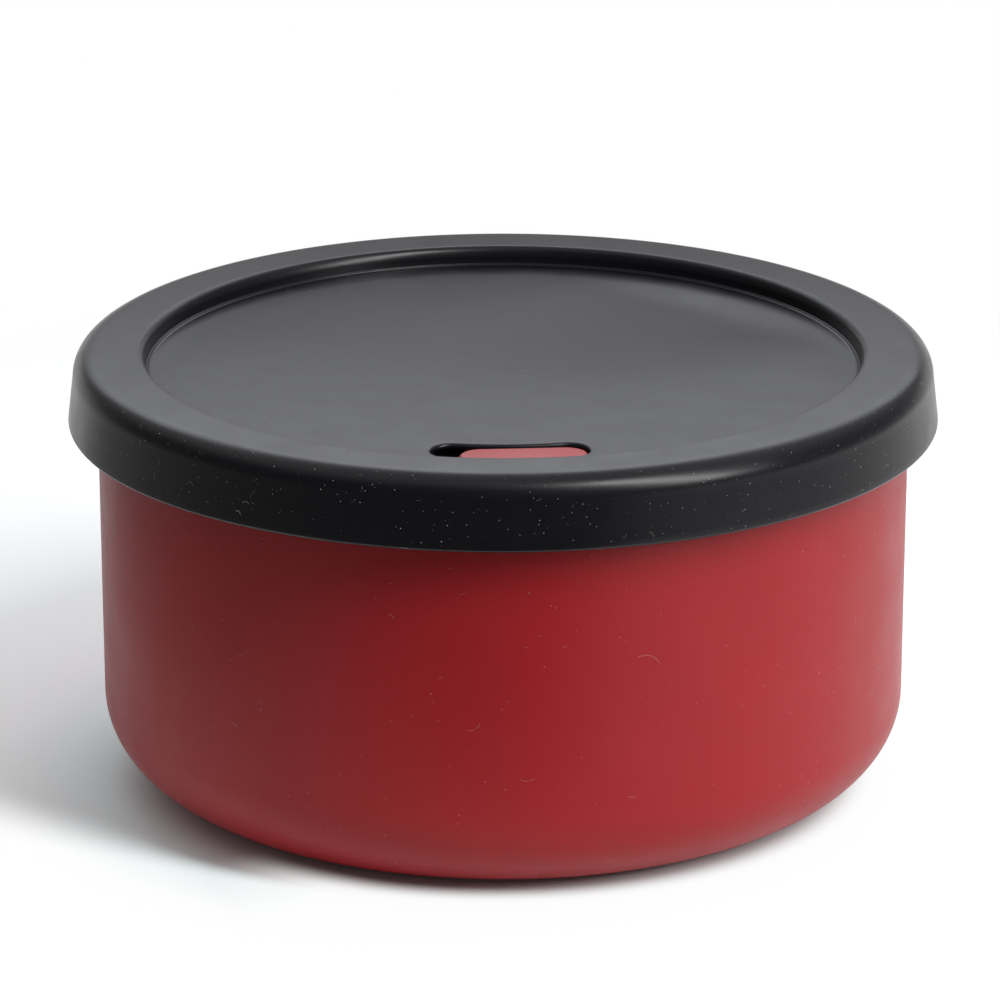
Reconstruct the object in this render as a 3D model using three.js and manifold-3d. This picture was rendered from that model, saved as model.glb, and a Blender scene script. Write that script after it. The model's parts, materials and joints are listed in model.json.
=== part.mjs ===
// Round silicone food container: a bowl, a push-on lid and the vent slider in the lid.
// Millimetres, +Z up, origin at the centre of the base, front towards -Y.
import * as THREE from 'three';
import { mergeVertices } from 'three/addons/utils/BufferGeometryUtils.js';
import Module from 'manifold-3d';

const wasm = await Module();
wasm.setup();

// Gap left between two pieces that fit together
const clearance = 0.3;

// Bowl
const mouthRadius = 67.4; // inside of the wall at the rim
const bowlHeight = 74.1;
const wallThickness = 2.6;
const floorThickness = 3;
const wallDraft = 0.4; // how far the wall draws in between the rim and the rounded foot
const footReach = 19.7; // rounded foot, measured across
const footRise = 16.5; // rounded foot, measured upwards
const beadProud = 1.5; // rim bead, beyond the wall
const beadHeight = 4.2;
const rimRounding = 0.8;

// Lid
const ringThickness = 2.7; // over the bowl's rim
const ringWidth = 12.7;
const skirtDepth = 12.3;
const skirtWall = 2.3;
const skirtFlare = 0.9; // how far the skirt opens out towards its lower lip
const lipRounding = 0.5;
const edgeRounding = 4; // outer edge of the ring
const recessDepth = 3.3;
const recessDraft = 0.1;
const recessRounding = 1.2;
const panelThickness = 2;
const ribWidth = 1.8; // sealing rib inside the bowl's mouth
const ribReach = 2.8; // sealing rib, below the panel

// Vent in the lid's panel
const ventInset = 8.7; // from the recess wall to the slot
const sliderLength = 21.35;
const sliderWidth = 6.4;
const sliderSink = 0.4; // top of the slider below the panel
const sliderTravel = 4.55;
const flangeThickness = 1.4;
const slotLip = 1.2; // panel left above the slider's flange
const undercut = 0.9; // pocket beyond the slot on every side
const pocketWall = 1.6;
const pocketFloor = 1.6;
const ventHoleRadius = 1.5;
const ventHoleEdge = 1.6; // from the hole to the pocket's end

// Fineness of the round surfaces
const turnSteps = 80;
const footSteps = 9;
const edgeSteps = 6;
const roundingSteps = 3;
const slotSteps = 8;
const holeSteps = 20;

const bowlRed = 0xa01c26;
const lidBlack = 0x1b1b1e;
const sliderRed = 0xa5202b;
const redRoughness = 0.5;
const blackRoughness = 0.55;

// Quarter of an ellipse in a turned profile, as points of radius and height
function quarterRound(radius, height, reach, rise, fromDegrees, toDegrees, steps) {
  const from = THREE.MathUtils.degToRad(fromDegrees);
  const to = THREE.MathUtils.degToRad(toDegrees);
  return new THREE.EllipseCurve(radius, height, reach, rise, from, to, to < from).getPoints(steps);
}

// Profile turned about the Z axis
function turned(profile) {
  return new THREE.LatheGeometry(profile, turnSteps).rotateX(Math.PI / 2);
}

// Round-ended bar bent along a circle about the Z axis, centred on an angle
function curvedBar({ radius, centre, halfAngle, halfWidth, bottom, top }) {
  const start = centre - halfAngle;
  const end = centre + halfAngle;
  const outline = new THREE.Shape();
  outline.absarc(0, 0, radius + halfWidth, start, end, false);
  outline.absarc(radius * Math.cos(end), radius * Math.sin(end), halfWidth, end, end + Math.PI, false);
  outline.absarc(0, 0, radius - halfWidth, end, start, true);
  outline.absarc(
    radius * Math.cos(start), radius * Math.sin(start), halfWidth,
    start + Math.PI, start + 2 * Math.PI, false,
  );
  const bar = new THREE.ExtrudeGeometry(outline, {
    depth: top - bottom,
    bevelEnabled: false,
    curveSegments: slotSteps,
  });
  return bar.translate(0, 0, bottom);
}

// Closed mesh as a solid that can be joined and cut
function toSolid(geometry) {
  geometry.deleteAttribute('normal');
  geometry.deleteAttribute('uv');
  const merged = mergeVertices(geometry);
  const corners = merged.index.array;
  const triangles = [];
  for (let i = 0; i < corners.length; i += 3) {
    const [a, b, c] = corners.slice(i, i + 3);
    if (a !== b && b !== c && c !== a) triangles.push(a, b, c);
  }
  return new wasm.Manifold(new wasm.Mesh({
    numProp: 3,
    vertProperties: new Float32Array(merged.attributes.position.array),
    triVerts: new Uint32Array(triangles),
  }));
}

function toGeometry(solid) {
  const { vertProperties, triVerts } = solid.getMesh();
  const geometry = new THREE.BufferGeometry();
  geometry.setAttribute('position', new THREE.BufferAttribute(vertProperties, 3));
  geometry.setIndex(new THREE.BufferAttribute(triVerts, 1));
  geometry.computeVertexNormals();
  return geometry;
}

function piece(name, geometry, color, roughness) {
  const material = new THREE.MeshStandardMaterial({ color, roughness, metalness: 0 });
  const mesh = new THREE.Mesh(geometry, material);
  mesh.name = name;
  return mesh;
}

// Bowl: flat base, rounded foot, drafted wall and a bead round the rim
const rimRadius = mouthRadius + wallThickness;
const footRadius = rimRadius - wallDraft;
const baseRadius = footRadius - footReach;
const beadRadius = rimRadius + beadProud;
const beadBottom = bowlHeight - beadHeight;

// Outside of the drafted wall at a height
function wallRadius(height) {
  return rimRadius - (wallDraft * (bowlHeight - height)) / (bowlHeight - footRise);
}

const bowlProfile = [
  new THREE.Vector2(0, 0),
  ...quarterRound(baseRadius, footRise, footReach, footRise, -90, 0, footSteps),
  new THREE.Vector2(wallRadius(beadBottom), beadBottom),
  new THREE.Vector2(beadRadius, beadBottom + beadProud),
  ...quarterRound(
    beadRadius - rimRounding, bowlHeight - rimRounding, rimRounding, rimRounding, 0, 90, roundingSteps,
  ),
  ...quarterRound(
    mouthRadius + rimRounding, bowlHeight - rimRounding, rimRounding, rimRounding, 90, 180, roundingSteps,
  ),
  ...quarterRound(
    baseRadius, footRise, footReach - wallThickness, footRise - floorThickness, 0, -90, footSteps,
  ),
  new THREE.Vector2(0, floorThickness),
];
const bowl = piece('bowl', turned(bowlProfile), bowlRed, redRoughness);

// Lid: ring over the rim, skirt outside it, sealing rib inside it, and the recessed panel
const ringBottom = bowlHeight + clearance;
const lidTop = ringBottom + ringThickness;
const skirtInside = beadRadius + clearance;
const skirtOutside = skirtInside + skirtWall;
const skirtBottom = lidTop - skirtDepth;
const lipOutside = skirtOutside + skirtFlare;
const recessRadius = skirtOutside - ringWidth;
const panelRadius = recessRadius - recessDraft;
const panelTop = lidTop - recessDepth;
const panelBottom = panelTop - panelThickness;
const ribBottom = panelBottom - ribReach;
const ribOutside = wallRadius(ribBottom) - wallThickness - clearance;
const ribInside = ribOutside - ribWidth;

const lidProfile = [
  new THREE.Vector2(0, panelBottom),
  new THREE.Vector2(ribInside, panelBottom),
  new THREE.Vector2(ribInside, ribBottom),
  new THREE.Vector2(ribOutside, ribBottom),
  new THREE.Vector2(ribOutside, ringBottom),
  new THREE.Vector2(skirtInside, ringBottom),
  new THREE.Vector2(skirtInside + skirtFlare, skirtBottom),
  ...quarterRound(
    lipOutside - lipRounding, skirtBottom + lipRounding, lipRounding, lipRounding, -90, 0, roundingSteps,
  ),
  ...quarterRound(
    skirtOutside - edgeRounding, lidTop - edgeRounding, edgeRounding, edgeRounding, 0, 90, edgeSteps,
  ),
  ...quarterRound(
    recessRadius + recessRounding, lidTop - recessRounding, recessRounding, recessRounding,
    90, 180, roundingSteps,
  ),
  new THREE.Vector2(panelRadius, panelTop),
  new THREE.Vector2(0, panelTop),
];

// Vent: a curved slot in the panel over a wider pocket, with a hole in the pocket's floor
const front = -Math.PI / 2;
const slotHalfWidth = sliderWidth / 2 + clearance;
const pocketHalfWidth = slotHalfWidth + undercut;
const ventRadius = panelRadius - ventInset - slotHalfWidth;
const sliderHalfAngle = (sliderLength - sliderWidth) / 2 / ventRadius;
const slotHalfAngle = sliderHalfAngle + sliderTravel / 2 / ventRadius;
const flangeTop = panelTop - slotLip - clearance;
const flangeBottom = flangeTop - flangeThickness;
const pocketBottom = flangeBottom - clearance;
const bossBottom = pocketBottom - pocketFloor;
const slot = { radius: ventRadius, centre: front, halfAngle: slotHalfAngle };

const boss = curvedBar({
  ...slot,
  halfWidth: pocketHalfWidth + pocketWall,
  bottom: bossBottom,
  top: panelTop - panelThickness / 2,
});
const slotCut = curvedBar({
  ...slot,
  halfWidth: slotHalfWidth,
  bottom: flangeTop,
  top: lidTop,
});
const pocketCut = curvedBar({
  ...slot,
  halfWidth: pocketHalfWidth,
  bottom: pocketBottom,
  top: panelTop - slotLip,
});
const holeAngle = front + slotHalfAngle + (pocketHalfWidth - ventHoleEdge - ventHoleRadius) / ventRadius;
const holeCut = new THREE.CylinderGeometry(ventHoleRadius, ventHoleRadius, 2 * pocketFloor, holeSteps)
  .rotateX(Math.PI / 2)
  .translate(
    ventRadius * Math.cos(holeAngle), ventRadius * Math.sin(holeAngle), pocketBottom - pocketFloor / 2,
  );

const lidSolid = toSolid(turned(lidProfile))
  .add(toSolid(boss))
  .subtract(toSolid(slotCut))
  .subtract(toSolid(pocketCut))
  .subtract(toSolid(holeCut));
const lid = piece('lid', toGeometry(lidSolid), lidBlack, blackRoughness);

// Slider: a flange under the slot's lip and a bar up through the slot, shown at the closed end
const sliderPlace = {
  radius: ventRadius,
  centre: front + slotHalfAngle - sliderHalfAngle,
  halfAngle: sliderHalfAngle,
};
const flange = curvedBar({
  ...sliderPlace,
  halfWidth: pocketHalfWidth - clearance,
  bottom: flangeBottom,
  top: flangeTop,
});
const bar = curvedBar({
  ...sliderPlace,
  halfWidth: sliderWidth / 2,
  bottom: flangeBottom + flangeThickness / 2,
  top: panelTop - sliderSink,
});
const slider = piece('vent_slider', toGeometry(toSolid(flange).add(toSolid(bar))), sliderRed, redRoughness);

const container = new THREE.Group();
container.add(bowl, lid, slider);

export default container;
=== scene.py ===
"""Round silicone food container: moulded bowl, lid and vent slider, the lint on them, and a plain studio."""

import json
import math

import bmesh
import bpy
from bpy.props import FloatProperty, FloatVectorProperty, IntProperty, PointerProperty, StringProperty
from mathutils import Euler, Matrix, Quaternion, Vector
from mathutils.geometry import tessellate_polygon

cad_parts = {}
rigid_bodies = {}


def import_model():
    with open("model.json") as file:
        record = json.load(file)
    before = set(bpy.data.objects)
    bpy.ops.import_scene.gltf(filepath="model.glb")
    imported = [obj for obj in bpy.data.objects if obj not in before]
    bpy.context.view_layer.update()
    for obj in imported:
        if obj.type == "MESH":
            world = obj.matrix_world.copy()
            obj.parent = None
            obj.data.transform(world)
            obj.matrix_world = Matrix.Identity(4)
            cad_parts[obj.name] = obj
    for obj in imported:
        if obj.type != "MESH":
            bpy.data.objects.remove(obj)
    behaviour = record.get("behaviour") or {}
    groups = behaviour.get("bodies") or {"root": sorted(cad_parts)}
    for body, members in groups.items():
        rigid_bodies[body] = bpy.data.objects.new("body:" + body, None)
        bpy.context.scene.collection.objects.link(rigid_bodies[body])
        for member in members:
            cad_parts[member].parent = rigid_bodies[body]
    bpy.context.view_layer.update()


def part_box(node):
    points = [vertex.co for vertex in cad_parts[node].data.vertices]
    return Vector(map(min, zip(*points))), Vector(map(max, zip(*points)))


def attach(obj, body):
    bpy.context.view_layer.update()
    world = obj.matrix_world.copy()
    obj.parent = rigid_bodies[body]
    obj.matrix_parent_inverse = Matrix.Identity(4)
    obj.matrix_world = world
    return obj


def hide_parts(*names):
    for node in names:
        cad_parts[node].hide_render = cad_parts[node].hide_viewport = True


bl_info = {
    "name": "Silicone food container",
    "version": (1, 0, 0),
    "blender": (4, 5, 0),
    "location": "3D View > Sidebar > Container",
    "description": "Dresses the packed container with moulded silicone surfaces, lint and a studio",
    "category": "Object",
}

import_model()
BOWL_LOW, BOWL_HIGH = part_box("bowl")
LID_LOW, LID_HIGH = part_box("lid")
SLIDER_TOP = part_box("vent_slider")[1].z

MM = 0.001
IMAGE_SIZE = 1000
SENSOR_WIDTH = 36.0
FRONT = -math.pi / 2
UP = Vector((0, 0, 1))

# Points closer than this are one
WELD = 0.002 * MM

# Steps round the axis, and along a small rounding, the ring's edges, the bowl's foot and a straight
TURN_STEPS = 288
ROUND_STEPS = 8
EDGE_STEPS = 16
FOOT_STEPS = 24
STRAIGHT_STEPS = 8

# Steps along each side and end of the vent's slot, and round its hole
SLOT_STEPS = 24
HOLE_STEPS = 32

# Circle that a profile is swept along; the profile is set back by as much
SWEEP_RADIUS = 100 * MM

# Turned strip round the flat middle of the panel's underside
UNDER_STRIP = 2 * MM

# Cuts from the panel's middle to each side, so that it can sag, and how far out the last one lies, as a
# multiple of the lowest point's place
SAG_CUTS = 24
SAG_SPAN = 1.3

# Loops in the slider's top, as shares of its half width
CROWN_LOOPS = (0.7, 0.4, 0.2, 0.0)

# Lint: its sizes and amounts, the height of a speck to its width, how much small pieces prevail, the
# smallest to the largest, and how far apart the seeds of two pieces are
LINT_INPUTS = ("Specks", "Fibres", "Hairs", "Speck", "Fibre", "Hair", "Thread")
SPECK_HEIGHT = 0.5
SMALL_PREVAIL = 2.2
SMALLEST = 0.4
SEED_STEP = 10

# Where lint clings: how far in from the widest of the lid and the bowl, how far below the lid's top and
# how close to its lip, and how squarely a face has to look outwards or upwards
SKIRT_BAND = 5 * MM
WALL_BAND = 12 * MM
TOP_BAND = 4 * MM
LIP_GAP = 1 * MM
OUTWARDS = 0.3
UPWARDS = 0.9


def linear_colour(hex_colour):
    """sRGB hex such as a01c26 as linear RGBA."""
    channels = [int(hex_colour[i:i + 2], 16) / 255 for i in (0, 2, 4)]
    linear = [c / 12.92 if c <= 0.04045 else ((c + 0.055) / 1.055) ** 2.4 for c in channels]
    return (*linear, 1.0)


def size(name, description, millimetres):
    """Length property with its default in millimetres."""
    return FloatProperty(name=name, description=description, default=millimetres * MM, min=0.0, unit="LENGTH")


def angle(name, description, degrees):
    """Angle property with its default in degrees."""
    return FloatProperty(name=name, description=description, default=math.radians(degrees), subtype="ANGLE")


def power(name, description, watts):
    """Power property of a lamp."""
    return FloatProperty(name=name, description=description, default=watts, min=0.0, unit="POWER")


def amount(name, description, default):
    """Plain number property."""
    return FloatProperty(name=name, description=description, default=default, min=0.0)


def colour(name, description, hex_colour):
    """Colour property with its default as an sRGB hex value."""
    return StringProperty(name=name, description=description, default=hex_colour)


class ContainerBowlSettings(bpy.types.PropertyGroup):
    """Sizes and colour of the bowl."""

    wall: size("Wall", "Thickness of the wall", 2.6)
    floor: size("Floor", "Thickness of the floor", 3.0)
    draft: size("Draft", "How far the wall draws in between the rim and the foot", 0.4)
    foot_reach: size("Foot reach", "Rounded foot, measured across", 19.7)
    foot_rise: size("Foot rise", "Rounded foot, measured upwards", 16.5)
    bead_proud: size("Bead proud", "Rim bead beyond the wall", 1.5)
    bead_height: size("Bead height", "Height of the rim bead", 4.2)
    rounding: size("Rounding", "Rounding of the rim's edges", 0.8)
    hue: colour("Colour", "Colour of the bowl's silicone", "a21d25")


class ContainerLidSettings(bpy.types.PropertyGroup):
    """Sizes and colour of the lid."""

    ring_thickness: size("Ring thickness", "Ring over the bowl's rim", 2.7)
    ring_width: size("Ring width", "Raised ring from the skirt to the recess", 12.55)
    skirt_wall: size("Skirt wall", "Thickness of the skirt", 2.3)
    skirt_flare: size("Skirt flare", "How far the skirt opens out towards its lip", 0.9)
    lip_rounding: size("Lip rounding", "Rounding of the skirt's lower lip", 0.6)
    edge_rounding: size("Edge rounding", "Rounding of the ring's outer edge", 4.0)
    recess_depth: size("Recess depth", "Panel below the ring", 3.3)
    recess_draft: size("Recess draft", "How far the recess wall draws in towards the panel", 0.1)
    brow_reach: size("Brow reach", "Soft inner edge of the ring, measured across", 1.4)
    brow_drop: size("Brow drop", "Soft inner edge of the ring, measured downwards", 2.2)
    ledge: size("Ledge", "Small bead between the recess wall and the panel", 0.22)
    sweep_run: size("Sweep run", "Edge of the panel that sweeps up to the bead, measured across", 5.0)
    sweep_rise: size("Sweep rise", "Edge of the panel that sweeps up to the bead, measured upwards", 0.13)
    panel: size("Panel", "Thickness of the panel", 2.0)
    sag_depth: size("Sag depth", "How far the panel sags at its lowest", 0.65)
    sag_out: size("Sag place", "From the axis to where the panel sags most", 46.0)
    sag_turn: angle("Sag turn", "Where the panel sags most, from the right towards the back", 43.5)
    sag_rise: size("Sag rise", "From the lowest point outwards to the level panel", 14.5)
    sag_run: size("Sag run", "From the lowest point inwards to the level panel", 70.0)
    sag_side: size("Sag side", "From the lowest point sideways to the level panel", 40.0)
    rib_gap: size("Rib gap", "From the bowl's mouth to the sealing rib", 0.335)
    rib_width: size("Rib width", "Thickness of the sealing rib", 1.8)
    rib_reach: size("Rib reach", "Sealing rib below the panel", 2.8)
    hue: colour("Colour", "Colour of the lid's silicone", "0d0c12")


class ContainerVentSettings(bpy.types.PropertyGroup):
    """Sizes and colour of the vent slot and its slider."""

    inset: size("Inset", "From the recess wall to the slot", 8.85)
    clearance: size("Clearance", "Gap between the slider and the lid", 0.3)
    length: size("Slider length", "Length of the slider's bar", 21.35)
    width: size("Slider width", "Width of the slider's bar", 6.4)
    travel: size("Travel", "How far the slider moves", 4.55)
    lip: size("Lip", "Panel above the slider's flange", 1.2)
    undercut: size("Undercut", "Pocket beyond the slot", 0.9)
    flange: size("Flange", "Thickness of the slider's flange", 1.4)
    pocket_wall: size("Pocket wall", "Wall round the pocket", 1.6)
    pocket_floor: size("Pocket floor", "Floor of the pocket", 1.6)
    slot_rounding: size("Slot rounding", "Rounding of the slot's edge", 0.6)
    rounding: size("Rounding", "Rounding of the slider's edges", 0.35)
    crown: size("Crown", "How far the slider's top falls towards its ends", 0.3)
    hole: size("Vent hole", "Radius of the vent hole", 1.5)
    hole_edge: size("Hole edge", "From the vent hole to the pocket's end", 1.6)
    hue: colour("Colour", "Colour of the slider's silicone", "a8312f")


class ContainerLintSettings(bpy.types.PropertyGroup):
    """Specks, fibres and hairs that cling to the silicone."""

    specks: amount("Specks", "Specks per square metre of the lid's skirt", 130000.0)
    fibres: amount("Fibres", "Fibres per square metre of the lid's skirt", 15000.0)
    hairs: amount("Hairs", "Long hairs per square metre of the lid's skirt", 1500.0)
    top_share: amount("Top share", "Lint on the lid's top, as a share of that on its skirt", 0.12)
    bowl_share: amount("Bowl share", "Lint on the bowl, as a share of that on the skirt", 0.25)
    speck: size("Speck", "Radius of the largest specks", 0.1)
    fibre: size("Fibre", "Length of the longest fibres", 1.4)
    hair: size("Hair", "Length of the longest hairs", 4.5)
    thread: size("Thread", "Radius of a fibre", 0.02)
    seed: IntProperty(name="Seed", description="Seed of the scatter", default=7)


class ContainerStageSettings(bpy.types.PropertyGroup):
    """Camera, lamps and table."""

    distance: size("Distance", "Camera to the point that it looks at", 1125.0)
    elevation: angle("Elevation", "Camera above the horizon", 19.02)
    azimuth: angle("Azimuth", "Camera to the right of the front", -1.4)
    focal: amount("Focal length", "Focal length in pixels", 6452.0)
    target: size("Target height", "Height of the point that the camera looks at", 33.75)
    target_pixel: FloatVectorProperty(
        name="Target pixel", description="Where that point lies in the image", size=2, default=(503.1, 584.0)
    )
    key_power: power("Key power", "Power of the key lamp", 7.45)
    key_hue: colour("Key colour", "Colour of the key lamp", "fffeff")
    key_width: size("Key width", "Width of the key lamp", 200.0)
    key_height: size("Key height", "Height of the key lamp", 820.0)
    key_distance: size("Key distance", "Key lamp to the object", 963.0)
    key_roll: angle("Key roll", "How far the key lamp's top leans to the front", 20)
    key_azimuth: angle("Key azimuth", "Key lamp from the right towards the front", 43)
    key_elevation: angle("Key elevation", "Key lamp above the horizon", 40)
    top_power: power("Top power", "Power of the top lamp", 0.37)
    top_hue: colour("Top colour", "Colour of the top lamp", "f3f6ff")
    top_width: size("Top width", "Width of the top lamp", 400.0)
    top_height: size("Top height", "Height of the top lamp", 200.0)
    top_behind: size("Top behind", "Middle of the top lamp behind the object's middle", 250.0)
    top_above: size("Top above", "Middle of the top lamp above the table", 264.0)
    top_tilt: angle("Top tilt", "How far the top lamp leans over the object", 8)
    table_front: size("Table front", "From the object's middle to the table's front edge", 120.0)
    table_left: size("Table left", "From the object's middle to the table's left edge", 135.0)
    table_turn: size("Table turn", "From the object's middle to where the front edge slants away", 28.0)
    table_reach: size("Table reach", "From the object's middle to the table's other edges", 600.0)
    table_gap: size("Table gap", "Table below the bowl's base, so that the two faces don't coincide", 0.05)
    apron: size("Apron", "How far the table goes on beyond its front edge at the right", 270.0)
    apron_slant: size("Apron slant", "How far the slanting edge runs to the right", 202.5)
    fade: size("Fade", "Strip at the table's left edge that fades into the background", 30.0)
    far_fade: size("Far fade", "From the object's middle to where the table fades on every side", 150.0)
    glow_near: size("Glow near", "From the object's middle to where the bowl's red glow is strongest", 58.0)
    glow_far: size("Glow far", "From the object's middle to where the bowl's red glow ends", 95.0)
    # Where the camera sees the table painted white over its shade: past the foot on the key lamp's side, and
    # in front of the shadow
    foot_shade: size("Foot shade", "From the object's middle to the end of the dark line at its foot", 57.5)
    foot_painted_white: size("Foot clear", "From the object's middle to the white table on the lit side", 65.0)
    shadow_edge: size("Shadow edge", "From the shadow's middle to where its front edge begins to clear", 66.0)
    shadow_painted_white: size("Shadow clear", "From the shadow's middle to the white table in front of it", 90.0)
    hue: colour("Table colour", "Colour of the table top", "f3f3f3")


# Node trees


def add_node(tree, kind, inputs=(), **settings):
    """Adds a node with its settings, and its inputs as values or as sockets to link."""
    node = tree.nodes.new(kind)
    for name, value in settings.items():
        setattr(node, name, value)
    for socket, value in dict(inputs).items():
        if isinstance(value, bpy.types.NodeSocket):
            tree.links.new(value, node.inputs[socket])
        else:
            node.inputs[socket].default_value = value
    return node


def new_geometry_tree(name, inputs):
    """Geometry node tree with a geometry socket each way and the named inputs."""
    tree = bpy.data.node_groups.new(name, "GeometryNodeTree")
    tree.interface.new_socket("Geometry", in_out="INPUT", socket_type="NodeSocketGeometry")
    for label, socket_type in inputs:
        tree.interface.new_socket(label, in_out="INPUT", socket_type=socket_type)
    tree.interface.new_socket("Geometry", in_out="OUTPUT", socket_type="NodeSocketGeometry")
    return tree, tree.nodes.new("NodeGroupInput").outputs


def end_geometry_tree(tree, geometry, material):
    """Ends a tree in real geometry that carries its material."""
    real = add_node(tree, "GeometryNodeRealizeInstances", {"Geometry": geometry})
    dressed = add_node(
        tree, "GeometryNodeSetMaterial", {"Geometry": real.outputs["Geometry"], "Material": material}
    )
    add_node(tree, "NodeGroupOutput", {"Geometry": dressed.outputs["Geometry"]})
    return tree


def turning_tree():
    """Turns a profile of radius and height about the Z axis, as a moulded round piece is drawn."""
    tree, given = new_geometry_tree(
        "Turned profile",
        [("Steps", "NodeSocketInt"), ("Sweep radius", "NodeSocketFloat"), ("Material", "NodeSocketMaterial")],
    )
    profile = add_node(tree, "GeometryNodeMeshToCurve", {"Mesh": given["Geometry"]})
    inwards = add_node(tree, "ShaderNodeMath", {0: given["Sweep radius"], 1: -1.0}, operation="MULTIPLY")
    shift = add_node(tree, "ShaderNodeCombineXYZ", {"X": inwards.outputs[0]})
    upright = add_node(tree, "GeometryNodeTransform", {
        "Geometry": profile.outputs["Curve"],
        "Translation": shift.outputs[0],
        "Rotation": Euler((math.pi / 2, 0, 0)),
    })
    circle = add_node(tree, "GeometryNodeCurvePrimitiveCircle", {
        "Resolution": given["Steps"],
        "Radius": given["Sweep radius"],
    })
    level = add_node(
        tree, "GeometryNodeSetCurveNormal", {"Curve": circle.outputs["Curve"]}, mode="Z_UP"
    )
    swept = add_node(tree, "GeometryNodeCurveToMesh", {
        "Curve": level.outputs["Curve"],
        "Profile Curve": upright.outputs["Geometry"],
    })
    welded = add_node(
        tree, "GeometryNodeMergeByDistance", {"Geometry": swept.outputs["Mesh"], "Distance": WELD}
    )
    return end_geometry_tree(tree, welded.outputs["Geometry"], given["Material"])


def lint_tree():
    """Scatters specks, short bent fibres and longer hairs over faces, as thickly as each is dusty."""
    tree, given = new_geometry_tree("Clinging lint", [
        *((name, "NodeSocketFloat") for name in LINT_INPUTS),
        ("Seed", "NodeSocketInt"),
        ("Material", "NodeSocketMaterial"),
    ])
    dusty = add_node(tree, "GeometryNodeInputNamedAttribute", {"Name": "dusty"}, data_type="FLOAT")
    speck = add_node(tree, "GeometryNodeMeshIcoSphere", {"Radius": given["Speck"], "Subdivisions": 1})
    thread = add_node(tree, "GeometryNodeCurvePrimitiveCircle", {"Resolution": 4, "Radius": given["Thread"]})
    bow = add_node(tree, "GeometryNodeCurveQuadraticBezier", {
        "Resolution": 6,
        "Start": Vector((-0.5, 0.0, 0.0)),
        "Middle": Vector((0.0, 0.45, 0.0)),
        "End": Vector((0.5, 0.1, 0.0)),
    })
    fibres = []
    for length in (given["Fibre"], given["Hair"]):
        sized_bow = add_node(
            tree, "GeometryNodeTransform", {"Geometry": bow.outputs["Curve"], "Scale": length}
        )
        fibre = add_node(tree, "GeometryNodeCurveToMesh", {
            "Curve": sized_bow.outputs["Geometry"],
            "Profile Curve": thread.outputs["Curve"],
            "Fill Caps": True,
        })
        fibres.append(fibre.outputs["Mesh"])
    scattered = []
    for layer, (density, shape, height) in enumerate([
        (given["Specks"], speck.outputs["Mesh"], SPECK_HEIGHT),
        (given["Fibres"], fibres[0], 1.0),
        (given["Hairs"], fibres[1], 1.0),
    ]):
        seed = add_node(tree, "ShaderNodeMath", {0: given["Seed"], 1: float(layer)}, operation="ADD")
        held = add_node(
            tree, "ShaderNodeMath", {0: density, 1: dusty.outputs["Attribute"]}, operation="MULTIPLY"
        )
        points = add_node(tree, "GeometryNodeDistributePointsOnFaces", {
            "Mesh": given["Geometry"],
            "Density": held.outputs[0],
            "Seed": seed.outputs[0],
        })
        chance = add_node(tree, "FunctionNodeRandomValue", {"Seed": seed.outputs[0]}, data_type="FLOAT")
        small_ones = add_node(
            tree, "ShaderNodeMath", {0: chance.outputs[1], 1: SMALL_PREVAIL}, operation="POWER"
        )
        grown = add_node(
            tree, "ShaderNodeMapRange", {"Value": small_ones.outputs[0], "To Min": SMALLEST, "To Max": 1.0}
        )
        flat = add_node(tree, "ShaderNodeMath", {0: grown.outputs[0], 1: height}, operation="MULTIPLY")
        scale = add_node(tree, "ShaderNodeCombineXYZ", {
            "X": grown.outputs[0], "Y": grown.outputs[0], "Z": flat.outputs[0],
        })
        placed = add_node(tree, "GeometryNodeInstanceOnPoints", {
            "Points": points.outputs["Points"],
            "Instance": shape,
            "Rotation": points.outputs["Rotation"],
            "Scale": scale.outputs[0],
        })
        turn = add_node(
            tree, "FunctionNodeRandomValue", {"Seed": seed.outputs[0], 3: math.tau}, data_type="FLOAT"
        )
        spin = add_node(tree, "ShaderNodeCombineXYZ", {"Z": turn.outputs[1]})
        turned = add_node(tree, "GeometryNodeRotateInstances", {
            "Instances": placed.outputs["Instances"],
            "Rotation": spin.outputs[0],
        })
        scattered.append(turned.outputs["Instances"])
    layers = add_node(tree, "GeometryNodeJoinGeometry")
    for instances in scattered:
        tree.links.new(instances, layers.inputs["Geometry"])
    return end_geometry_tree(tree, layers.outputs["Geometry"], given["Material"])


def evaluate_tree(mesh, tree, values):
    """Plain mesh that a node tree makes from a mesh and named input values."""
    helper = bpy.data.objects.new("helper", mesh)
    bpy.context.scene.collection.objects.link(helper)
    modifier = helper.modifiers.new("Nodes", "NODES")
    modifier.node_group = tree
    for item in tree.interface.items_tree:
        if item.in_out == "INPUT" and item.name in values:
            modifier[item.identifier] = values[item.name]
    depsgraph = bpy.context.evaluated_depsgraph_get()
    made = bpy.data.meshes.new_from_object(helper.evaluated_get(depsgraph), depsgraph=depsgraph)
    helper.modifiers.remove(modifier)
    bpy.data.objects.remove(helper)
    return made


# Materials


def new_material(name):
    """Material with an empty node tree."""
    material = bpy.data.materials.new(name)
    material.use_nodes = True
    material.node_tree.nodes.clear()
    return material, material.node_tree


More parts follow.
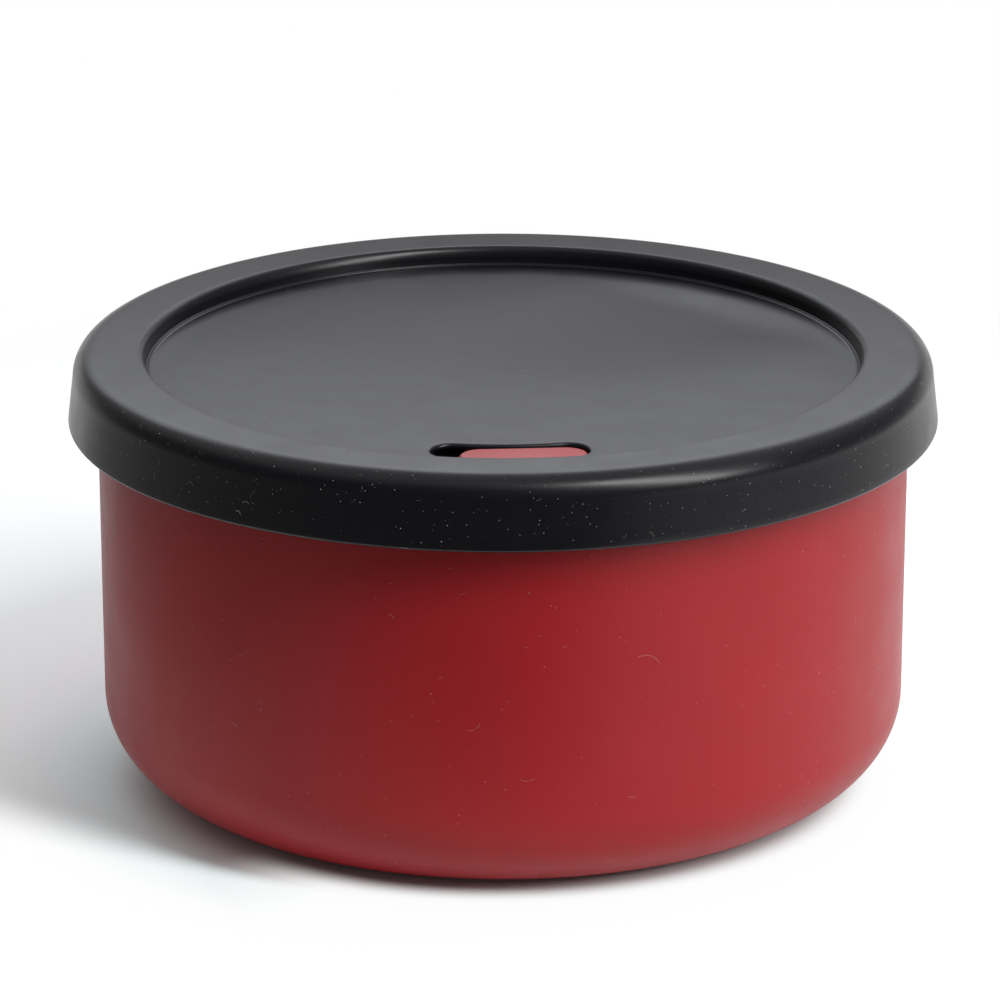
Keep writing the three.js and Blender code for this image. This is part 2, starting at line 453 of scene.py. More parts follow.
def moulded_silicone(name, hue, roughness, specular, powder=0.0, gloss="ffffff"):
    """Silicone moulded in a spark-textured tool: a soft, slightly milky sheen and no sharp reflection."""
    material, tree = new_material(name)
    place = add_node(tree, "ShaderNodeTexCoord").outputs["Object"]

    # Clouding of the pigment, about 14 mm across
    cloud = add_node(tree, "ShaderNodeTexNoise", {"Vector": place, "Scale": 1 / (14 * MM), "Detail": 3.0})
    clouding = 0.06
    base = linear_colour(hue)[:3]
    tint = add_node(tree, "ShaderNodeMix", {
        "Factor": cloud.outputs["Fac"],
        6: tuple(c * (1 - clouding) for c in base) + (1.0,),
        7: tuple(c * (1 + clouding) for c in base) + (1.0,),
    }, data_type="RGBA")

    # Handling smudges, about 9 mm across, change how matt the surface is
    smudge = add_node(tree, "ShaderNodeTexNoise", {"Vector": place, "Scale": 1 / (9 * MM), "Detail": 4.0})
    smudging = 0.03
    matt = add_node(tree, "ShaderNodeMapRange", {
        "Value": smudge.outputs["Fac"], "From Min": 0.3, "From Max": 0.7,
        "To Min": roughness - smudging, "To Max": roughness + smudging,
    })

    # Spark texture of the mould: really near 0.05 mm, drawn at 0.4 mm so that it shows
    grain = add_node(tree, "ShaderNodeTexNoise", {"Vector": place, "Scale": 1 / (0.4 * MM), "Detail": 2.0})

    # Soft walls are never quite true: a wave about 45 mm long
    wave = add_node(tree, "ShaderNodeTexNoise", {"Vector": place, "Scale": 1 / (45 * MM), "Detail": 0.0})
    wavy = add_node(tree, "ShaderNodeBump", {
        "Height": wave.outputs["Fac"], "Strength": 1.0, "Distance": 0.25 * MM,
    })
    bumped = add_node(tree, "ShaderNodeBump", {
        "Height": grain.outputs["Fac"], "Strength": 1.0, "Distance": 0.008 * MM,
        "Normal": wavy.outputs["Normal"],
    })
    surface = add_node(tree, "ShaderNodeBsdfPrincipled", {
        "Base Color": tint.outputs[2],
        "Roughness": matt.outputs[0],
        "Normal": bumped.outputs["Normal"],
        "IOR": 1.41,
        "Specular IOR Level": specular,
        "Specular Tint": linear_colour(gloss),
        "Sheen Weight": powder,
        "Sheen Roughness": 0.5,
    })
    add_node(tree, "ShaderNodeOutputMaterial", {"Surface": surface.outputs["BSDF"]})
    return material


def cotton_lint():
    """Cotton lint: pale, dull fibre ends that catch the light as dots."""
    material, tree = new_material("cotton lint")
    place = add_node(tree, "ShaderNodeTexCoord").outputs["Object"]
    shade = add_node(tree, "ShaderNodeTexNoise", {"Vector": place, "Scale": 1 / (3 * MM)})
    tint = add_node(tree, "ShaderNodeMix", {
        "Factor": shade.outputs["Fac"], 6: linear_colour("9a908d"), 7: linear_colour("d8d2cf"),
    }, data_type="RGBA")
    surface = add_node(tree, "ShaderNodeBsdfPrincipled", {"Base Color": tint.outputs[2], "Roughness": 0.9})
    add_node(tree, "ShaderNodeOutputMaterial", {"Surface": surface.outputs["BSDF"]})
    return material


# Shapes


def rounding(radius, height, reach, rise, start, end, steps=ROUND_STEPS):
    """Stretch of an ellipse in a profile, between two angles in degrees."""
    angles = [math.radians(start + (end - start) * i / steps) for i in range(steps + 1)]
    return [(radius + reach * math.cos(a), height + rise * math.sin(a)) for a in angles]


def straight(start, end, steps=STRAIGHT_STEPS):
    """Points between two others, without them."""
    shares = [i / steps for i in range(1, steps)]
    return [(start[0] + (end[0] - start[0]) * s, start[1] + (end[1] - start[1]) * s) for s in shares]


def with_straights(*stretches):
    """Profile of the stretches in order, with points along each straight between two of them."""
    profile = list(stretches[0])
    for stretch in stretches[1:]:
        profile += straight(profile[-1], stretch[0]) + list(stretch)
    return profile


def turned_mesh(profile, material):
    """Mesh of a profile of radius and height, turned about the Z axis."""
    line = bpy.data.meshes.new("profile")
    line.from_pydata([(r, 0, z) for r, z in profile], [(i, i + 1) for i in range(len(profile) - 1)], [])
    values = {"Steps": TURN_STEPS, "Sweep radius": SWEEP_RADIUS, "Material": material}
    return evaluate_tree(line, turning_tree(), values)


def bent_loop(radius, centre, half_angle, half_width):
    """Outline of a bar with round ends that is bent along a circle about the Z axis."""
    start, end = centre - half_angle, centre + half_angle
    shares = [i / SLOT_STEPS for i in range(SLOT_STEPS)]
    outer, inner = radius + half_width, radius - half_width
    along = [start + 2 * half_angle * s for s in shares]
    back = [end - 2 * half_angle * s for s in shares]
    points = [Vector((outer * math.cos(a), outer * math.sin(a))) for a in along]
    points += end_cap(radius, end, half_width, 0.0, shares)
    points += [Vector((inner * math.cos(a), inner * math.sin(a))) for a in back]
    points += end_cap(radius, start, half_width, math.pi, shares)
    return points


def end_cap(radius, bearing, half_width, turn, shares):
    """Half circle at one end of a bent bar."""
    middle = Vector((radius * math.cos(bearing), radius * math.sin(bearing)))
    turns = [bearing + turn + math.pi * s for s in shares]
    return [middle + half_width * Vector((math.cos(a), math.sin(a))) for a in turns]


def circle_loop(centre, radius, steps):
    """Points round a circle."""
    turns = [math.tau * i / steps for i in range(steps)]
    return [centre + radius * Vector((math.cos(a), math.sin(a))) for a in turns]


def add_loop(bm, points, height):
    """Loop of vertices at one height, or at a height for each point."""
    heights = height if isinstance(height, list) else [height] * len(points)
    return [bm.verts.new((p.x, p.y, z)) for p, z in zip(points, heights)]


def add_strip(bm, loops):
    """Quads between loops of as many vertices."""
    for low, high in zip(loops, loops[1:]):
        for i in range(len(low)):
            j = (i + 1) % len(low)
            bm.faces.new((low[i], low[j], high[j], high[i]))


def add_flat(bm, *loops):
    """Flat face inside the first loop, outside the others."""
    verts = [v for loop in loops for v in loop]
    for triangle in tessellate_polygon([[v.co for v in loop] for loop in loops]):
        bm.faces.new([verts[i] for i in triangle])


def rim_loop(bm, height):
    """Open edge of a turned mesh at a height, in order round the axis."""
    rim = [v for v in bm.verts if v.is_boundary and abs(v.co.z - height) < WELD]
    return sorted(rim, key=lambda v: math.atan2(v.co.y, v.co.x))


def closed_mesh(bm, name):
    """Mesh of a closed shape with its doubles welded and its faces pointing outwards."""
    bmesh.ops.remove_doubles(bm, verts=bm.verts, dist=WELD)
    bmesh.ops.dissolve_degenerate(bm, edges=bm.edges, dist=WELD / 10)
    bmesh.ops.recalc_face_normals(bm, faces=bm.faces)
    mesh = bpy.data.meshes.new(name)
    bm.to_mesh(mesh)
    bm.free()
    return mesh


def place_piece(name, mesh, material, body, node=None):
    """Object for a finished mesh that rides on a body, and may stand for its CAD node."""
    mesh.materials.clear()
    mesh.materials.append(material)
    mesh.shade_smooth()
    piece = bpy.data.objects.new(name, mesh)
    bpy.context.scene.collection.objects.link(piece)
    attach(piece, body)
    if node:
        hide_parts(node)


class Vent:
    """Places that the lid's panel, the slot, its pocket and the slider share."""

    def __init__(self, scene):
        lid, vent = scene.container_lid, scene.container_vent
        self.recess = LID_HIGH.x - lid.skirt_flare - lid.ring_width
        self.panel_edge = self.recess - lid.recess_draft
        self.panel_top = LID_HIGH.z - lid.recess_depth
        self.slot_half = vent.width / 2 + vent.clearance
        self.pocket_half = self.slot_half + vent.undercut
        self.radius = self.panel_edge - vent.inset - self.slot_half
        self.slider_angle = (vent.length - vent.width) / 2 / self.radius
        self.slot_angle = self.slider_angle + vent.travel / 2 / self.radius
        self.slider_centre = FRONT + self.slot_angle - self.slider_angle
        self.flange_top = self.panel_top - vent.lip - vent.clearance
        self.flange_bottom = self.flange_top - vent.flange
        self.pocket_bottom = self.flange_bottom - vent.clearance
        self.boss_bottom = self.pocket_bottom - vent.pocket_floor
        along = (self.pocket_half - vent.hole_edge - vent.hole) / self.radius
        hole_angle = FRONT + self.slot_angle + along
        self.hole_place = self.radius * Vector((math.cos(hole_angle), math.sin(hole_angle)))

    def slot_loop(self, half_width):
        """Outline along the slot."""
        return bent_loop(self.radius, FRONT, self.slot_angle, half_width)

    def slider_loop(self, half_width):
        """Outline along the slider."""
        return bent_loop(self.radius, self.slider_centre, self.slider_angle, half_width)


# Operators


class ContainerMakeBowl(bpy.types.Operator):
    """Turns the bowl's wall, foot, floor and rim bead"""

    bl_idname = "container.make_bowl"
    bl_label = "Make bowl"

    def execute(self, context):
        bowl = context.scene.container_bowl
        height, bead = BOWL_HIGH.z, BOWL_HIGH.x
        rim = bead - bowl.bead_proud
        reach, rise = bowl.foot_reach, bowl.foot_rise
        base = rim - bowl.draft - reach
        bead_bottom = height - bowl.bead_height
        wall_top = rim - bowl.draft * bowl.bead_height / (height - rise)
        mouth = rim - bowl.wall
        r = bowl.rounding
        profile = with_straights(
            [(0.0, BOWL_LOW.z)],
            rounding(base, rise, reach, rise, -90, 0, FOOT_STEPS),
            [(wall_top, bead_bottom)],
            [(bead, bead_bottom + bowl.bead_proud)],
            rounding(bead - r, height - r, r, r, 0, 90),
            rounding(mouth + r, height - r, r, r, 90, 180),
            rounding(base, rise, reach - bowl.wall, rise - bowl.floor, 0, -90, FOOT_STEPS),
            [(0.0, bowl.floor)],
        )
        silicone = moulded_silicone(
            "red moulded silicone", bowl.hue, roughness=0.44, specular=0.44, gloss="fff9ee"
        )
        bm = bmesh.new()
        bm.from_mesh(turned_mesh(profile, silicone))
        mesh = closed_mesh(bm, "moulded_bowl")
        place_piece("moulded_bowl", mesh, silicone, "bowl", "bowl")
        return {"FINISHED"}


class ContainerMakeLid(bpy.types.Operator):
    """Turns the lid, sets the vent's slot and pocket into its panel and lets the panel sag"""

    bl_idname = "container.make_lid"
    bl_label = "Make lid"

    def execute(self, context):
        lid, vent = context.scene.container_lid, context.scene.container_vent
        bowl = context.scene.container_bowl
        at = Vent(context.scene)
        top, lip_bottom, lip = LID_HIGH.z, LID_LOW.z, LID_HIGH.x
        skirt = lip - lid.skirt_flare
        inside = skirt - lid.skirt_wall
        panel_bottom = at.panel_top - lid.panel
        ring_bottom = top - lid.ring_thickness
        rib = BOWL_HIGH.x - bowl.bead_proud - bowl.wall - lid.rib_gap
        rib_inside = rib - lid.rib_width
        rib_bottom = panel_bottom - lid.rib_reach
        f, edge = lid.lip_rounding, lid.edge_rounding
        brow, drop, ledge = lid.brow_reach, lid.brow_drop, lid.ledge
        crease = at.panel_edge - ledge
        shares = [i / ROUND_STEPS for i in range(ROUND_STEPS + 1)]
        sweep = [
            (crease - lid.sweep_run * s, at.panel_top + lid.sweep_rise * (1 - s) ** 2) for s in shares
        ]
        profile = with_straights(
            [(at.panel_edge - UNDER_STRIP, panel_bottom)],
            rounding(rib_inside - f, panel_bottom - f, f, f, 90, 0),
            rounding(rib_inside + f, rib_bottom + f, f, f, 180, 270),
            rounding(rib - f, rib_bottom + f, f, f, 270, 360),
            rounding(rib + f, ring_bottom - f, f, f, 180, 90),
            rounding(inside - f, ring_bottom - f, f, f, 90, 0),
            rounding(inside + lid.skirt_flare + f, lip_bottom + f, f, f, 180, 270),
            rounding(lip - f, lip_bottom + f, f, f, 270, 360),
            rounding(skirt - edge, top - edge, edge, edge, 0, 90, EDGE_STEPS),
            rounding(at.recess + brow, top - drop, brow, drop, 90, 180, EDGE_STEPS),
            rounding(at.panel_edge, sweep[0][1], ledge, ledge, 90, 180),
        ) + sweep[1:]
        silicone = moulded_silicone("black moulded silicone", lid.hue, roughness=0.31, specular=0.5)
        bm = bmesh.new()
        bm.from_mesh(turned_mesh(profile, silicone))
        panel_rim, under_rim = rim_loop(bm, at.panel_top), rim_loop(bm, panel_bottom)

        # Slot, from a flat strip of the panel down its rounded edge to the pocket's floor
        e = vent.slot_rounding
        section = [(at.slot_half + 3 * e, at.panel_top)]
        section += rounding(at.slot_half + e, at.panel_top - e, e, e, 90, 180)
        section += [
            (at.slot_half, at.panel_top - vent.lip),
            (at.pocket_half, at.panel_top - vent.lip),
            (at.pocket_half, at.pocket_bottom),
        ]
        slot_loops = [add_loop(bm, at.slot_loop(half), z) for half, z in section]
        add_strip(bm, slot_loops)
        add_flat(bm, panel_rim, slot_loops[0])
        self.sag_panel(bm, lid, at.panel_top, crease)

        # Boss under the panel that holds the pocket
        boss_half = at.pocket_half + vent.pocket_wall
        section = [(boss_half + 2 * f, panel_bottom)]
        section += rounding(boss_half + f, panel_bottom - f, f, f, 90, 180)
        section += rounding(boss_half - f, at.boss_bottom + f, f, f, 0, -90)
        boss_loops = [add_loop(bm, at.slot_loop(half), z) for half, z in section]
        add_strip(bm, boss_loops)
        add_flat(bm, under_rim, boss_loops[0])

        # Vent hole through the pocket's floor
        hole = circle_loop(at.hole_place, vent.hole, HOLE_STEPS)
        hole_loops = [add_loop(bm, hole, z) for z in (at.pocket_bottom, at.boss_bottom)]
        add_strip(bm, hole_loops)
        add_flat(bm, slot_loops[-1], hole_loops[0])
        add_flat(bm, boss_loops[-1], hole_loops[1])
        mesh = closed_mesh(bm, "moulded_lid")
        place_piece("moulded_lid", mesh, silicone, "lid", "lid")
        return {"FINISHED"}

    @staticmethod
    def sag_panel(bm, lid, panel_top, crease):
        """Lets the panel sag at the back right, more steeply towards the ring, as the soft lid has warped."""
        faces = [f for f in bm.faces if all(abs(v.co.z - panel_top) < WELD for v in f.verts)]
        edges = dict.fromkeys(e for f in faces for e in f.edges)
        parts = [*faces, *edges, *dict.fromkeys(v for f in faces for v in f.verts)]
        for axis in (Vector((1, 0, 0)), Vector((0, 1, 0))):
            for i in range(-SAG_CUTS, SAG_CUTS + 1):
                place = axis * lid.sag_out * SAG_SPAN * i / SAG_CUTS
                cut = bmesh.ops.bisect_plane(bm, geom=parts, dist=WELD, plane_co=place, plane_no=axis)
                parts = cut["geom"]
        outwards = Vector((math.cos(lid.sag_turn), math.sin(lid.sag_turn)))
        for vert in bm.verts:
            if vert.co.z < panel_top - WELD or vert.co.xy.length > crease + WELD:
                continue
            from_lowest = vert.co.xy - lid.sag_out * outwards
            along, across = from_lowest.dot(outwards), from_lowest.cross(outwards)
            reach = lid.sag_rise if along > 0 else lid.sag_run
            share = min(1.0, math.hypot(along / reach, across / lid.sag_side))
            # Smooth step that starts and ends without a crease
            vert.co.z -= lid.sag_depth * (1 - share ** 3 * (10 - 15 * share + 6 * share ** 2))


class ContainerMakeSlider(bpy.types.Operator):
    """Shapes the slider: a flange under the slot's lip and a crowned bar up through the slot"""

    bl_idname = "container.make_slider"
    bl_label = "Make vent slider"

    def execute(self, context):
        vent = context.scene.container_vent
        at = Vent(context.scene)
        bar = vent.width / 2
        flange = at.pocket_half - vent.clearance
        e = vent.rounding
        section = rounding(flange - e, at.flange_bottom + e, e, e, -90, 0)
        section += rounding(flange - e, at.flange_top - e, e, e, 0, 90)
        section += [(bar, at.flange_top)]
        section += rounding(bar - e, SLIDER_TOP - e, e, e, 0, 90)
        section += [(bar * share, SLIDER_TOP) for share in CROWN_LOOPS]
        bm = bmesh.new()
        loops = []
        for half, z in section:
            points = at.slider_loop(half)
            lowered = z > at.flange_top + e
            loops.append(add_loop(bm, points, [z - lowered * self.fall(at, vent, p) for p in points]))
        add_strip(bm, loops)
        add_flat(bm, loops[0])
        silicone = moulded_silicone("red slider silicone", vent.hue, roughness=0.44, specular=0.5, powder=0.1)
        mesh = closed_mesh(bm, "moulded_slider")
        place_piece("moulded_slider", mesh, silicone, "vent_slider", "vent_slider")
        return {"FINISHED"}

    @staticmethod
    def fall(at, vent, point):
        """How far the crowned top lies below its middle at a point."""
        along = (math.atan2(point.y, point.x) - at.slider_centre) * at.radius
        return vent.crown * (2 * along / vent.length) ** 2


class ContainerAddLint(bpy.types.Operator):
    """Scatters lint over the outside of the bowl and the lid"""

    bl_idname = "container.add_lint"
    bl_label = "Add lint"

    def execute(self, context):
        lint = context.scene.container_lint
        material = cotton_lint()
        tree = lint_tree()
        for number, body in enumerate(("bowl", "lid")):
            surface = bpy.data.objects["moulded_" + body].data.copy()
            self.mark_dusty(surface, body, lint)
            made = evaluate_tree(surface, tree, {
                **{name: getattr(lint, name.lower()) for name in LINT_INPUTS},
                "Seed": lint.seed + SEED_STEP * number,
                "Material": material,
            })
            place_piece(body + "_lint", made, material, body)
        return {"FINISHED"}

    @staticmethod
    def mark_dusty(surface, body, lint):
        """Marks how much lint each face holds: most on the skirt, little on the lid's top and the bowl."""
        dusty = surface.attributes.new("dusty", "FLOAT", "FACE")
        outside = LID_HIGH.x - SKIRT_BAND if body == "lid" else BOWL_HIGH.x - WALL_BAND
        for face in surface.polygons:
            centre, normal = face.center, face.normal
            reach = math.hypot(centre.x, centre.y)
            outwards = reach > outside and normal.x * centre.x + normal.y * centre.y > OUTWARDS * reach
            if body == "lid":
                upwards = centre.z > LID_HIGH.z - TOP_BAND and normal.z > UPWARDS
                share = 1.0 if outwards else lint.top_share * upwards
            else:
                share = lint.bowl_share * (outwards and centre.z < LID_LOW.z - LIP_GAP)
            dusty.data[face.index].value = share


class ContainerSetStage(bpy.types.Operator):
    """Sets the pale table top, the two softboxes, the studio's glow and the camera"""

    bl_idname = "container.set_stage"
    bl_label = "Set stage"

    def execute(self, context):
        stage = context.scene.container_stage
        context.scene.view_settings.view_transform = "Standard"
        self.make_floor(stage)
        self.make_lamps(stage)
        self.make_world(context.scene)
        self.make_camera(context.scene, stage)
        return {"FINISHED"}

    def make_floor(self, stage):
        """Table top that the object stands on, with its front edge slanting away at the right."""
        left, front, reach = -stage.table_left, -stage.table_front, stage.table_reach
        turn, apron = stage.table_turn, front - stage.apron
        corners = [
            (left, front), (turn, front), (turn + stage.apron_slant, apron),
            (reach, apron), (reach, reach), (turn, reach), (left, reach),
        ]
        height = BOWL_LOW.z - stage.table_gap
        mesh = bpy.data.meshes.new("table_top")
        mesh.from_pydata([(x, y, height) for x, y in corners], [], [(0, 1, 5, 6), (1, 2, 3, 4, 5)])
        mesh.materials.append(self.white_board(stage))
        floor = bpy.data.objects.new("table_top", mesh)
        bpy.context.scene.collection.objects.link(floor)

    @staticmethod
    def white_board(stage):
        """Matt white board that keeps its shadow and fades into the white background at its edges; near the
        foot, on the key lamp's side, it is painted white over its shade.
        """
        material, tree = new_material("matt white board")
        path = add_node(tree, "ShaderNodeLightPath").outputs
        shiny = add_node(tree, "ShaderNodeMath", {
            0: path["Is Glossy Ray"], 1: path["Is Transmission Ray"],
        }, operation="MAXIMUM")
        seen = add_node(tree, "ShaderNodeMath", {
            0: path["Is Camera Ray"], 1: shiny.outputs[0],
        }, operation="MAXIMUM")
        place = add_node(tree, "ShaderNodeTexCoord").outputs["Object"]
        away = add_node(tree, "ShaderNodeVectorMath", {0: place}, operation="LENGTH").outputs["Value"]

        # Seen by the camera or in a reflection, the board is lifted to white, less so for the bowl's red glow
        lift, red_near, red_far = 1.29, 1.04, 1.25
        red = add_node(tree, "ShaderNodeMapRange", {
            "Value": away, "From Min": stage.glow_near, "From Max": stage.glow_far,
            "To Min": red_near, "To Max": red_far,
        }, interpolation_type="SMOOTHSTEP")
        lifted = add_node(tree, "ShaderNodeCombineColor", {
            "Red": red.outputs[0], "Green": lift, "Blue": lift,
        })
        tint = add_node(tree, "ShaderNodeMix", {
            "Factor": seen.outputs[0], 6: linear_colour(stage.hue), 7: lifted.outputs[0],
        }, data_type="RGBA")
        board = add_node(tree, "ShaderNodeBsdfDiffuse", {"Color": tint.outputs[2]})

        # Far away on every side, and at the left edge, it fades into the background
        far = add_node(tree, "ShaderNodeMapRange", {
            "Value": away, "From Min": stage.far_fade, "From Max": 2 * stage.far_fade,
        }, interpolation_type="SMOOTHSTEP")
        across = add_node(tree, "ShaderNodeSeparateXYZ", {0: place})
        side = add_node(tree, "ShaderNodeMapRange", {
            "Value": across.outputs["X"],
            "From Min": stage.fade - stage.table_left, "From Max": -stage.table_left,
        }, interpolation_type="SMOOTHSTEP")
        edge = add_node(tree, "ShaderNodeMath", {
            0: far.outputs[0], 1: side.outputs[0],
        }, operation="MAXIMUM")
        around = add_node(tree, "ShaderNodeMath", {
            0: edge.outputs[0], 1: seen.outputs[0],
        }, operation="MULTIPLY")

        # Painted light: on the side of the key lamp, by the cosine to it, the board is painted nearly white
        # over its shade right up to the foot
        nearly_white = 0.9
        lit_from, lit_full = -0.12, 0.3
        towards = Vector((math.cos(stage.key_azimuth), -math.sin(stage.key_azimuth), 0))
        outwards = add_node(tree, "ShaderNodeVectorMath", {0: place}, operation="NORMALIZE")
        facing = add_node(tree, "ShaderNodeVectorMath", {
            0: outwards.outputs["Vector"], 1: towards,
        }, operation="DOT_PRODUCT")
        lit = add_node(tree, "ShaderNodeMapRange", {
            "Value": facing.outputs["Value"], "From Min": lit_from, "From Max": lit_full,
        }, interpolation_type="SMOOTHSTEP")
        painted_white_past_foot = add_node(tree, "ShaderNodeMapRange", {
            "Value": away, "From Min": stage.foot_shade, "From Max": stage.foot_painted_white,
            "To Max": nearly_white,
        }, interpolation_type="SMOOTHSTEP")
        painted_white_lit_side = add_node(tree, "ShaderNodeMath", {
            0: lit.outputs[0], 1: painted_white_past_foot.outputs[0],
        }, operation="MULTIPLY")

        # Painted light as well: the board is painted nearly white in front of the shadow, whose edge runs
        # straight away from the lamp
        aside = add_node(tree, "ShaderNodeVectorMath", {
            0: place, 1: towards.cross(UP),
        }, operation="DOT_PRODUCT")
        before = add_node(tree, "ShaderNodeMapRange", {
            "Value": aside.outputs["Value"], "From Min": stage.shadow_edge, "From Max": stage.shadow_painted_white,
            "To Max": nearly_white,
        }, interpolation_type="SMOOTHSTEP")
        painted_white_near_foot = add_node(tree, "ShaderNodeMath", {
            0: painted_white_lit_side.outputs[0], 1: before.outputs[0],
        }, operation="MAXIMUM")
        # Only the camera sees this painted white; reflections see the board's own shade
        near = add_node(tree, "ShaderNodeMath", {
            0: painted_white_near_foot.outputs[0], 1: path["Is Camera Ray"],
        }, operation="MULTIPLY")
        # The white emission stands for the background at the edges, and for the painted light near the foot
        fade = add_node(tree, "ShaderNodeMath", {
            0: around.outputs[0], 1: near.outputs[0],
        }, operation="MAXIMUM")
        white = add_node(tree, "ShaderNodeEmission", {"Strength": 1.0})
        surface = add_node(tree, "ShaderNodeMixShader", {
            "Fac": fade.outputs[0], 1: board.outputs["BSDF"], 2: white.outputs["Emission"],
        })
        add_node(tree, "ShaderNodeOutputMaterial", {"Surface": surface.outputs["Shader"]})
        return material

    @staticmethod
    def make_softbox(name, place, facing, width, height, watts, tint, roll=0.0):
        """Softbox that the camera doesn't see."""
        lamp = bpy.data.lights.new(name, "AREA")
        lamp.shape = "RECTANGLE"
        lamp.size = width
        lamp.size_y = height
        lamp.energy = watts
        lamp.color = linear_colour(tint)[:3]
        softbox = bpy.data.objects.new(name, lamp)
        softbox.visible_camera = False
        softbox.location = place
        turned = facing.to_track_quat("-Z", "Y") @ Quaternion((0, 0, 1), roll)
        softbox.rotation_euler = turned.to_euler()
        bpy.context.scene.collection.objects.link(softbox)

    def make_lamps(self, stage):
        """Tall softbox at the front right, and a low one that leans over the lid from behind."""
        flat = math.cos(stage.key_elevation)
        towards = Vector((
            flat * math.cos(stage.key_azimuth),
            -flat * math.sin(stage.key_azimuth),
            math.sin(stage.key_elevation),
        ))
        place = Vector((0, 0, stage.target)) + stage.key_distance * towards
        self.make_softbox(
            "key_softbox", place, -towards, stage.key_width, stage.key_height, stage.key_power,
            stage.key_hue, stage.key_roll,
        )
        place = Vector((0, stage.top_behind, stage.top_above))
        facing = Vector((0, -math.cos(stage.top_tilt), -math.sin(stage.top_tilt)))
        self.make_softbox(
            "top_softbox", place, facing, stage.top_width, stage.top_height, stage.top_power,
            stage.top_hue,
        )

    @staticmethod
    def make_world(scene):
        """Dim studio, a little lighter behind and above, with a white background for the camera."""
        world = bpy.data.worlds.new("studio")
        world.use_nodes = True
        tree = world.node_tree
        tree.nodes.clear()
        path = add_node(tree, "ShaderNodeLightPath").outputs
        direction = add_node(tree, "ShaderNodeTexCoord").outputs["Generated"]

        # How far a direction points towards the ceiling, the paler walls, the paler ground, up and back
        along = {}
        for name, axis in (
            ("ceiling", (0.0, 0.25, 0.97)),
            ("walls", (0.055, 0.045, 0.0)),
            ("ground", (0.0, 0.2, 0.0)),
            ("up", (0.0, 0.0, 1.0)),
            ("back", (0.0, 1.0, 0.0)),
        ):
            towards = add_node(tree, "ShaderNodeVectorMath", {
                0: direction, 1: Vector(axis),
            }, operation="DOT_PRODUCT")
            along[name] = towards.outputs["Value"]

        # Dim walls, a pale ceiling that begins above the back, and a ground that is darkest in front
        wall_glow, ceiling_glow, ground_glow = 0.18, 0.65, 0.3
        ceiling = add_node(tree, "ShaderNodeMapRange", {
            "Value": along["ceiling"], "From Min": 0.45, "From Max": 0.9,
            "To Min": wall_glow, "To Max": ceiling_glow,
        }, interpolation_type="SMOOTHSTEP")
        room = add_node(tree, "ShaderNodeMath", {0: ceiling.outputs[0], 1: along["walls"]}, operation="ADD")
        ground = add_node(tree, "ShaderNodeMath", {0: along["ground"], 1: ground_glow}, operation="ADD")
        above = add_node(tree, "ShaderNodeMath", {0: along["up"], 1: 0.0}, operation="GREATER_THAN")
        glow = add_node(tree, "ShaderNodeMix", {
            "Factor": above.outputs[0], 2: ground.outputs[0], 3: room.outputs[0],
        })

        # White paper behind the object, seen in reflections as well; the camera sees white all round
        behind = add_node(tree, "ShaderNodeMapRange", {
            "Value": along["back"], "From Min": 0.66, "From Max": 0.92,
        }, interpolation_type="SMOOTHSTEP")
        low = add_node(tree, "ShaderNodeMapRange", {
            "Value": along["up"], "From Min": 0.16, "From Max": 0.08,
        }, interpolation_type="SMOOTHSTEP")
        paper = add_node(tree, "ShaderNodeMath", {
            0: behind.outputs[0], 1: low.outputs[0],
        }, operation="MULTIPLY")
        shiny = add_node(tree, "ShaderNodeMath", {
            0: path["Is Glossy Ray"], 1: path["Is Transmission Ray"],
        }, operation="MAXIMUM")
        mirrored = add_node(tree, "ShaderNodeMath", {
            0: paper.outputs[0], 1: shiny.outputs[0],
        }, operation="MULTIPLY")
        seen = add_node(tree, "ShaderNodeMath", {
            0: path["Is Camera Ray"], 1: mirrored.outputs[0],
        }, operation="MAXIMUM")
        strength = add_node(tree, "ShaderNodeMix", {"Factor": seen.outputs[0], 2: glow.outputs[0], 3: 1.0})
        air = add_node(
            tree, "ShaderNodeBackground", {"Color": (1.0, 1.0, 1.0, 1.0), "Strength": strength.outputs[0]}
        )
        add_node(tree, "ShaderNodeOutputWorld", {"Surface": air.outputs["Background"]})
        scene.world = world

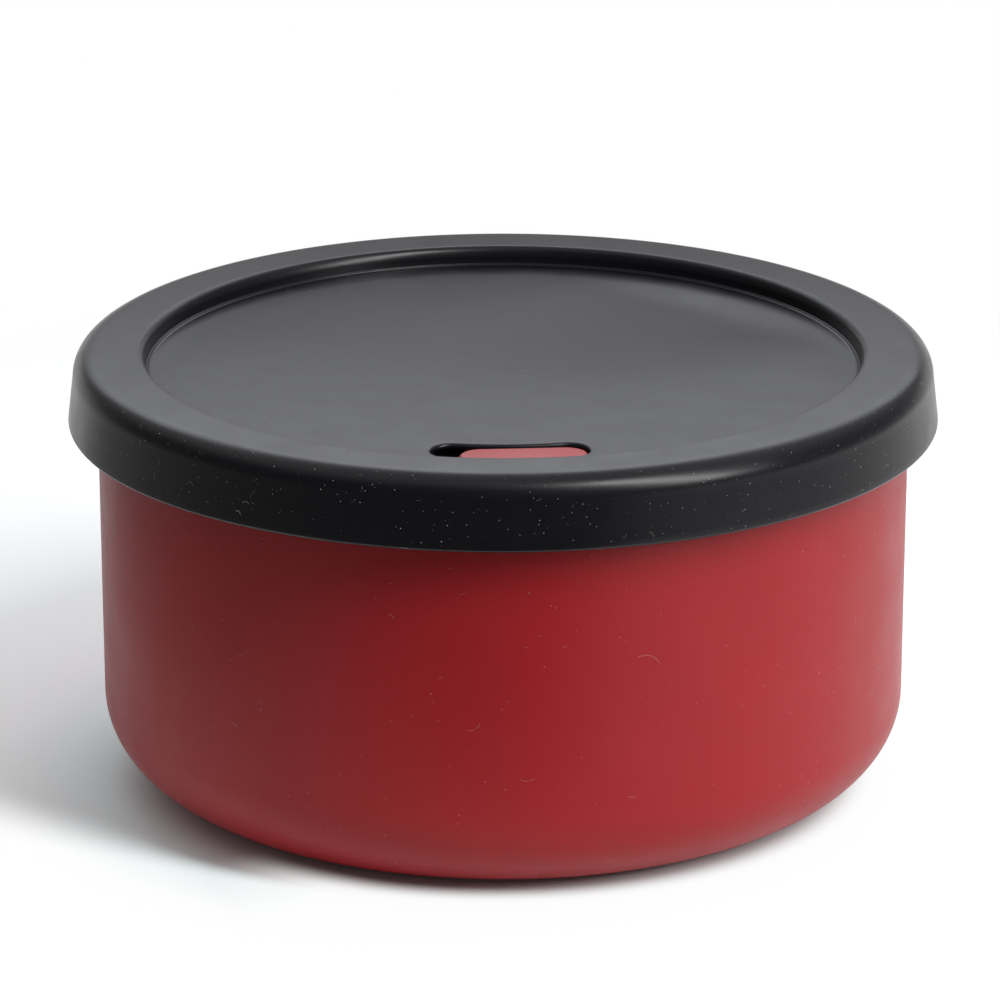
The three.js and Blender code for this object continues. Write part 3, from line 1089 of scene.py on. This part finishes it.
    @staticmethod
    def make_camera(scene, stage):
        """Camera at the photograph's place, turned so that its target lies at the same pixel."""
        flat, rise = math.cos(stage.elevation), math.sin(stage.elevation)
        side, ahead = math.sin(stage.azimuth), math.cos(stage.azimuth)
        back = Vector((side * flat, -ahead * flat, rise))
        right = Vector((ahead, side, 0))
        up = Vector((-side * rise, ahead * rise, flat))
        middle = IMAGE_SIZE / 2
        across = (middle - stage.target_pixel[0]) / stage.focal
        above = (stage.target_pixel[1] - middle) / stage.focal
        data = bpy.data.cameras.new("camera")
        data.sensor_width = SENSOR_WIDTH
        data.lens = SENSOR_WIDTH * stage.focal / IMAGE_SIZE
        camera = bpy.data.objects.new("camera", data)
        camera.location = Vector((0, 0, stage.target)) + stage.distance * back
        view = -back + across * right + above * up
        camera.rotation_euler = view.to_track_quat("-Z", "Y").to_euler()
        scene.collection.objects.link(camera)
        scene.camera = camera


STEPS = (ContainerMakeBowl, ContainerMakeLid, ContainerMakeSlider, ContainerAddLint, ContainerSetStage)
SETTINGS = {
    "container_bowl": ContainerBowlSettings,
    "container_lid": ContainerLidSettings,
    "container_vent": ContainerVentSettings,
    "container_lint": ContainerLintSettings,
    "container_stage": ContainerStageSettings,
}


class ContainerPanel(bpy.types.Panel):
    """Steps and settings of the container"""

    bl_idname = "VIEW3D_PT_container"
    bl_label = "Silicone food container"
    bl_space_type = "VIEW_3D"
    bl_region_type = "UI"
    bl_category = "Container"

    def draw(self, context):
        for step in STEPS:
            self.layout.operator(step.bl_idname)
        for name, group in SETTINGS.items():
            box = self.layout.box()
            for key in group.__annotations__:
                box.prop(getattr(context.scene, name), key)


def register():
    for group in SETTINGS.values():
        bpy.utils.register_class(group)
    for name, group in SETTINGS.items():
        setattr(bpy.types.Scene, name, PointerProperty(type=group))
    for step in (*STEPS, ContainerPanel):
        bpy.utils.register_class(step)


def unregister():
    for step in (ContainerPanel, *reversed(STEPS)):
        bpy.utils.unregister_class(step)
    for name, group in SETTINGS.items():
        delattr(bpy.types.Scene, name)
        bpy.utils.unregister_class(group)


def main():
    register()
    bpy.ops.container.make_bowl()
    bpy.ops.container.make_lid()
    bpy.ops.container.make_slider()
    bpy.ops.container.add_lint()
    bpy.ops.container.set_stage()


if __name__ == "__main__":
    main()
